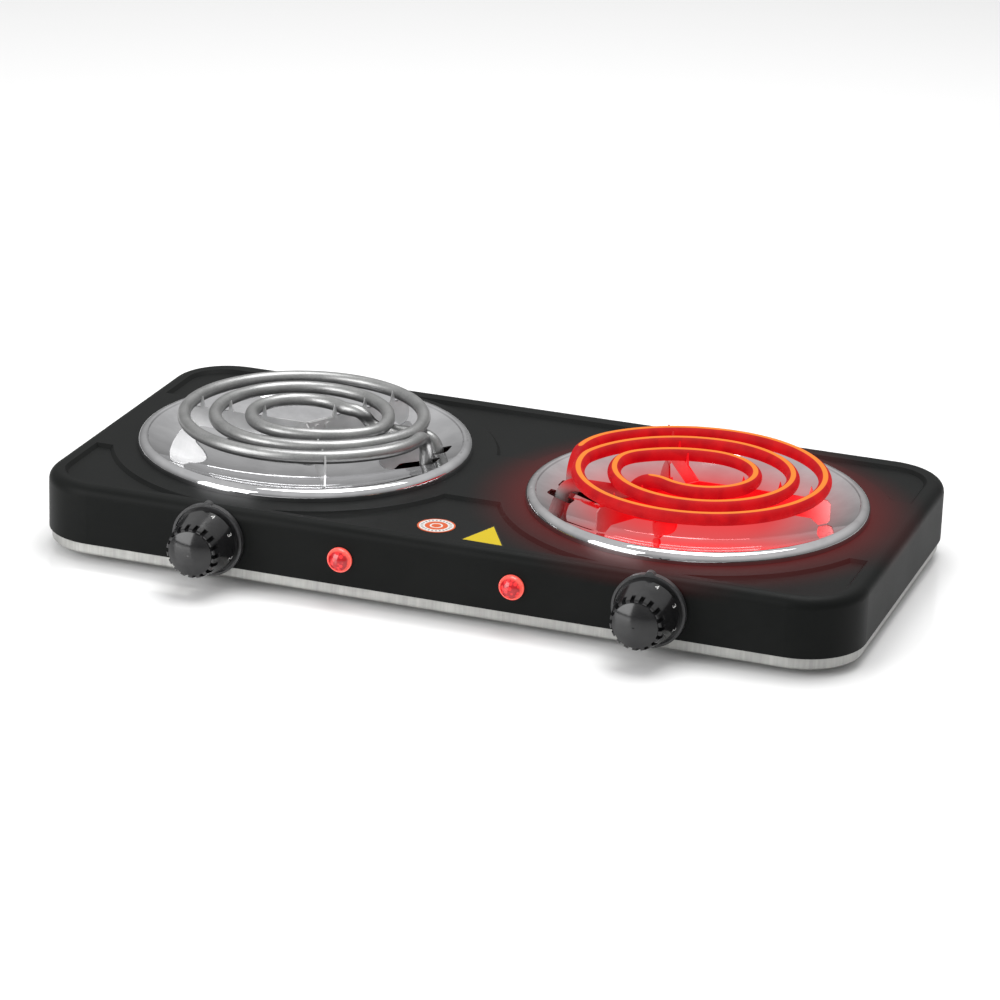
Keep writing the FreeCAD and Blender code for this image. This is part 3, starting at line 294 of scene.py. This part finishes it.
brass = Finish("contact_brass", Metallic=1.0)
rolled = brass.grain(0.0009, (6, 1, 1), 3.0)
brass.surface("Base Color", brass.colour(rolled, (0.55, 0.36, 0.13), (0.8, 0.6, 0.28)))
brass.surface("Roughness", rolled * 0.25 + 0.2)
brass.on("left_thermostat_blades", "right_thermostat_blades")


# ---- Bezels
# A round black plastic plate with a raised rim lies behind each knob. A small knuckle at its
# top is the mark that the numerals are set to.

moulded = Finish("bezel_plastic")
mould_flow = moulded.grain(0.0028, detail=4.0)
moulded.surface("Base Color", moulded.colour(mould_flow, (0.026, 0.026, 0.027), (0.042, 0.042, 0.043)))
moulded.surface("Roughness", mould_flow * 0.15 + 0.3)
moulded.relief(moulded.grain(0.0004), 0.000015)
moulded.on("left_bezel", "right_bezel")


# ---- Knobs
# Moulded in glossy black phenolic: a cone with grip notches round its front edge and a domed
# face. White numerals are printed round the back of the cone, and 4 stands nearly at the mark.

phenolic = Finish("knob_plastic", Specular_IOR_Level=0.35, Coat_Roughness=0.06)
wisps = phenolic.grain(0.005, detail=4.0)
phenolic.surface("Base Color", phenolic.colour(wisps, (0.006, 0.006, 0.0065), (0.014, 0.014, 0.0145)))
phenolic.surface("Roughness", wisps * 0.12 + 0.1)
phenolic.surface("Coat Weight", wisps * 0.2 + 0.1)
phenolic.relief(phenolic.grain(0.0035, detail=1.0), 0.00002)
phenolic.on("left_knob", "right_knob")

white_print = Finish("numeral_print")
wear = white_print.grain(0.0004)
white_print.surface("Base Color", white_print.colour(wear, (0.55, 0.55, 0.54), (0.9, 0.9, 0.88)))
white_print.surface("Roughness", wear * 0.2 + 0.45)

numeral_height = 0.0032
numeral_setback = 0.004
skirt_back = Vector((0.0168, 0.0214))
skirt_front = Vector((0.0133, 0.0038))
marks = {"4": 20, "3": 65, "2": 110, "1": 155, "OFF": 200}

for side in ("left", "right"):
    knob_low, knob_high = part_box(f"{side}_knob")
    middle_x = (knob_low.x + knob_high.x) / 2
    middle_z = (knob_low.z + knob_high.z) / 2
    slope = (skirt_back - skirt_front).normalized()
    outward = Vector((slope.y, -slope.x))
    base_line = skirt_back - slope * numeral_setback
    print_mesh = bmesh.new()
    for text, degrees in marks.items():
        letters = bpy.data.curves.new(f"{side}_{text}", "FONT")
        letters.body = text
        letters.size = numeral_height * 1.4
        letters.align_x = "CENTER"
        letters.extrude = 0.00002
        letters.offset = -0.00006
        flat = bpy.data.objects.new(f"{side}_{text}", letters)
        shape = bpy.data.meshes.new_from_object(flat)
        for vertex in shape.vertices:
            along_slope = base_line + slope * vertex.co.y + outward * (vertex.co.z + 0.00004)
            angle = math.radians(degrees) + vertex.co.x / along_slope.x
            vertex.co = Vector((middle_x + along_slope.x * math.sin(angle),
                                knob_low.y + along_slope.y,
                                middle_z + along_slope.x * math.cos(angle)))
        print_mesh.from_mesh(shape)
        bpy.data.objects.remove(flat)
    bmesh.ops.recalc_face_normals(print_mesh, faces=print_mesh.faces)
    numerals = bpy.data.objects.new(f"{side}_knob_numerals", bpy.data.meshes.new(f"{side}_knob_numerals"))
    print_mesh.to_mesh(numerals.data)
    bpy.context.scene.collection.objects.link(numerals)
    numerals.data.materials.append(white_print.material)
    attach(numerals, f"{side}_knob")


# ---- Pilot lamps
# A clear red lens is pushed through the front and held by a clip. A neon bulb behind it lights
# it up, brightest round the rim, and the moulded facets inside break the light up.

bulb = Finish("bulb_glass", Roughness=0.1, Emission_Strength=1.5)
bulb_glow = bulb.grain(0.003)
bulb.surface("Base Color", bulb.colour(bulb_glow, (0.8, 0.4, 0.3), (0.9, 0.6, 0.5)))
bulb.surface("Emission Color", bulb.colour(bulb_glow, (0.9, 0.15, 0.05), (1.0, 0.3, 0.1)))
bulb.on("left_lamp_bulb", "right_lamp_bulb")

for side in ("left", "right"):
    lens = Finish(f"{side}_lamp_lens", Roughness=0.12, Emission_Strength=0.6)
    lens_low, lens_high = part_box(f"{side}_lamp_lens")
    lens_middle = (lens_low + lens_high) / 2
    aside = lens.along("X") - lens_middle.x
    above = lens.along("Z") - lens_middle.z
    from_axis = (aside * aside + above * above) ** 0.5
    facets = lens.cells(0.0022)
    rim = from_axis.ramp(0.0047, 0.0058)
    lit = lens.colour(facets.ramp(0.3, 0.6), (1.0, 0.04, 0.04), (0.12, 0.0, 0.004))
    lens.surface("Base Color", lens.colour(rim, (0.4, 0.004, 0.008), (0.6, 0.06, 0.05)))
    lens.surface("Emission Color", lens.colour(rim, lit, (1.0, 0.13, 0.09)))
    lens.surface("Coat Weight", facets * 0.2 + 0.1)
    lens.relief(facets, 0.0001)
    lens.on(f"{side}_lamp_lens")


# ---- Drip pans
# Spun from thin sheet and chromium plated: a narrow rolled rim that stands on the housing and
# a wide shallow mirror bowl. Two slots let the coil's legs through. The right one is lit red.

for side in ("left", "right"):
    chrome = Finish(f"{side}_pan_chrome", Metallic=1.0)
    smear = chrome.grain(0.014, detail=4.0)
    spun = chrome.grain(0.0016, detail=3.0)
    plating_and_painted_glow = chrome.colour(smear.ramp(0.3, 0.7), (0.56, 0.56, 0.57), (0.66, 0.66, 0.67))
    if side == "right":
        # Painted red light of the hot coil, in both the colour and the glow of the right pan.
        plating_and_painted_glow = painted_coil_glow(chrome, 0.03, 0.092, (0.62, 0.015, 0.02), plating_and_painted_glow)
        chrome.surface("Emission Strength", 1.0)
        chrome.surface("Emission Color", painted_coil_glow(chrome, 0.02, 0.088, (0.5, 0.001, 0.004)))
    chrome.surface("Base Color", plating_and_painted_glow)
    chrome.surface("Roughness", smear.ramp(0.45, 0.75) * 0.04 + 0.02)
    chrome.relief(smear + spun * 0.03, 0.000008)
    chrome.on(f"{side}_drip_pan")


# ---- Coils
# Each is one steel tube with its heating wire inside, wound in flat turns whose two ends dive
# under the rim. The left one is cold, satin grey on top with painted shade below, and the right one
# glows.

coil_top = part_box("left_coil_element")[1].z
sheath = Finish("heater_sheath", Metallic=0.85)
stains = sheath.grain(0.012, detail=4.0)
scale = sheath.grain(0.0009, detail=4.0)
height = sheath.along("Z")
turn_tops = height.ramp(coil_top - 0.0056, coil_top - 0.0026)
legs = 1 - height.ramp(coil_top - 0.0095, coil_top - 0.007)
satin = sheath.colour(
    stains.ramp(0.3, 0.7) * 0.6 + scale.ramp(0.3, 0.7) * 0.4, (0.25, 0.253, 0.25), (0.37, 0.37, 0.367))
# Painted shade: the underside of the left coil's turns is dark, while the turn tops and legs keep the
# satin grey.
sheath.surface("Base Color", sheath.colour(turn_tops + legs, (0.05, 0.05, 0.05), satin))
sheath.surface("Roughness", scale * 0.16 + 0.3)
sheath.relief(scale, 0.00001)
sheath.on("left_coil_element")

glowing = Finish("glowing_sheath", Roughness=0.6, Specular_IOR_Level=0.1, Emission_Strength=1.0)
height = glowing.along("Z")
hot = height.ramp(coil_top - 0.018, coil_top - 0.008)
# Painted highlight: a bright orange line along the very top of the glowing tube.
painted_crest_highlight = height.ramp(coil_top - 0.00035, coil_top - 0.00015)
flicker = glowing.grain(0.01, detail=3.0)
ember = glowing.colour(flicker.ramp(0.3, 0.7), (0.42, 0.0, 0.004), (0.6, 0.003, 0.006))
glow = glowing.colour(painted_crest_highlight, ember, (1.0, 0.28, 0.03))
glowing.surface("Base Color", glowing.colour(hot, (0.2, 0.2, 0.2), (0.05, 0.004, 0.004)))
glowing.surface("Emission Color", glowing.colour(hot, (0.0, 0.0, 0.0), glow))
glowing.on("right_coil_element")


# ---- Spiders and hinges
# Three upright strips of bright steel carry the turns, and fingers punched from their edges
# stand up inside each turn. The legs pass through a round bar that turns in a bracket.

for side in ("left", "right"):
    bright = Finish(f"{side}_spider_steel", Metallic=0.75)
    specks = bright.grain(0.0011, detail=5.0)
    patches = bright.grain(0.012, detail=3.0)
    steel = bright.colour(
        patches.ramp(0.3, 0.7) * 0.8 + specks.ramp(0.55, 0.7) * 0.2, (0.6, 0.6, 0.6), (0.74, 0.74, 0.74))
    if side == "right":
        # Painted red light of the hot coil, in both the colour and the glow of the right spider.
        steel = painted_coil_glow(bright, 0.05, 0.1, (0.6, 0.015, 0.02), steel)
        bright.surface("Emission Strength", 1.0)
        bright.surface("Emission Color", painted_coil_glow(bright, 0.03, 0.085, (0.5, 0.002, 0.005)))
    bright.surface("Base Color", steel)
    bright.surface("Roughness", patches * 0.15 + 0.24)
    bright.relief(patches, 0.000004)
    bright.on(*(f"{side}_{piece}" for piece in ("spider_strip", "spider_arm", "spider_rivets",
                                                "hinge_bar", "hinge_bracket")))


# ---- Studio
# A pale, slightly glossy table top, a soft grey surround that is brighter overhead, and two
# large soft lamps: one low on the left in front, and one overhead.

table_mesh = bmesh.new()
bmesh.ops.create_grid(table_mesh, x_segments=2, y_segments=2, size=8)
table = bpy.data.objects.new("table_top", bpy.data.meshes.new("table_top"))
table_mesh.to_mesh(table.data)
bpy.context.scene.collection.objects.link(table)
table_finish = Finish("table_top", Roughness=0.08)
table_cloud = table_finish.grain(0.5, detail=2.0)
table_finish.surface("Base Color", table_finish.colour(table_cloud, (0.9, 0.9, 0.9), (0.91, 0.91, 0.91)))
table.data.materials.append(table_finish.material)

world = bpy.data.worlds.new("studio")
bpy.context.scene.world = world
world.use_nodes = True
surround = world.node_tree.nodes
backdrop = surround["Background"]
compass = surround.new("ShaderNodeTexCoord")
heights = surround.new("ShaderNodeSeparateXYZ")
bands = surround.new("ShaderNodeValToRGB")
world.node_tree.links.new(compass.outputs["Generated"], heights.inputs[0])
world.node_tree.links.new(heights.outputs["Z"], bands.inputs[0])
world.node_tree.links.new(bands.outputs[0], backdrop.inputs[0])
bands.color_ramp.elements[0].position = 0.0
bands.color_ramp.elements[0].color = (0.34, 0.34, 0.34, 1)
bands.color_ramp.elements[1].position = 0.6
bands.color_ramp.elements[1].color = (1, 1, 1, 1)
backdrop.inputs[1].default_value = 0.74


def soft_lamp(name, place, aim, size, power):
    lamp = bpy.data.lights.new(name, "AREA")
    lamp.size = size
    lamp.energy = power
    stand = bpy.data.objects.new(name, lamp)
    stand.location = place
    stand.rotation_euler = (Vector(aim) - Vector(place)).to_track_quat("-Z", "Y").to_euler()
    bpy.context.scene.collection.objects.link(stand)


soft_lamp("front_left_lamp", (-1.15, -1.55, 0.72), (0, 0, 0), 1.35, 29)
soft_lamp("overhead_lamp", (0.1, 0.35, 1.7), (0, 0, 0), 1.2, 26)

camera = bpy.data.objects.new("camera", bpy.data.cameras.new("camera"))
camera.data.sensor_width = 36
camera.data.lens = 142.87
azimuth, elevation, roll = (math.radians(turned) for turned in (18.741, 20.252, 2.03))
distance = 2.087934
looked_at = Vector((0.000735, 0.0105, 0.02655))
back = Vector((math.sin(azimuth) * math.cos(elevation), -math.cos(azimuth) * math.cos(elevation),
               math.sin(elevation)))
camera.location = looked_at + back * distance
camera.rotation_mode = "QUATERNION"
camera.rotation_quaternion = ((-back).to_track_quat("-Z", "Y")
                              @ Matrix.Rotation(roll, 4, "Z").to_quaternion())
bpy.context.scene.collection.objects.link(camera)
bpy.context.scene.camera = camera
bpy.context.scene.view_settings.view_transform = "Standard"
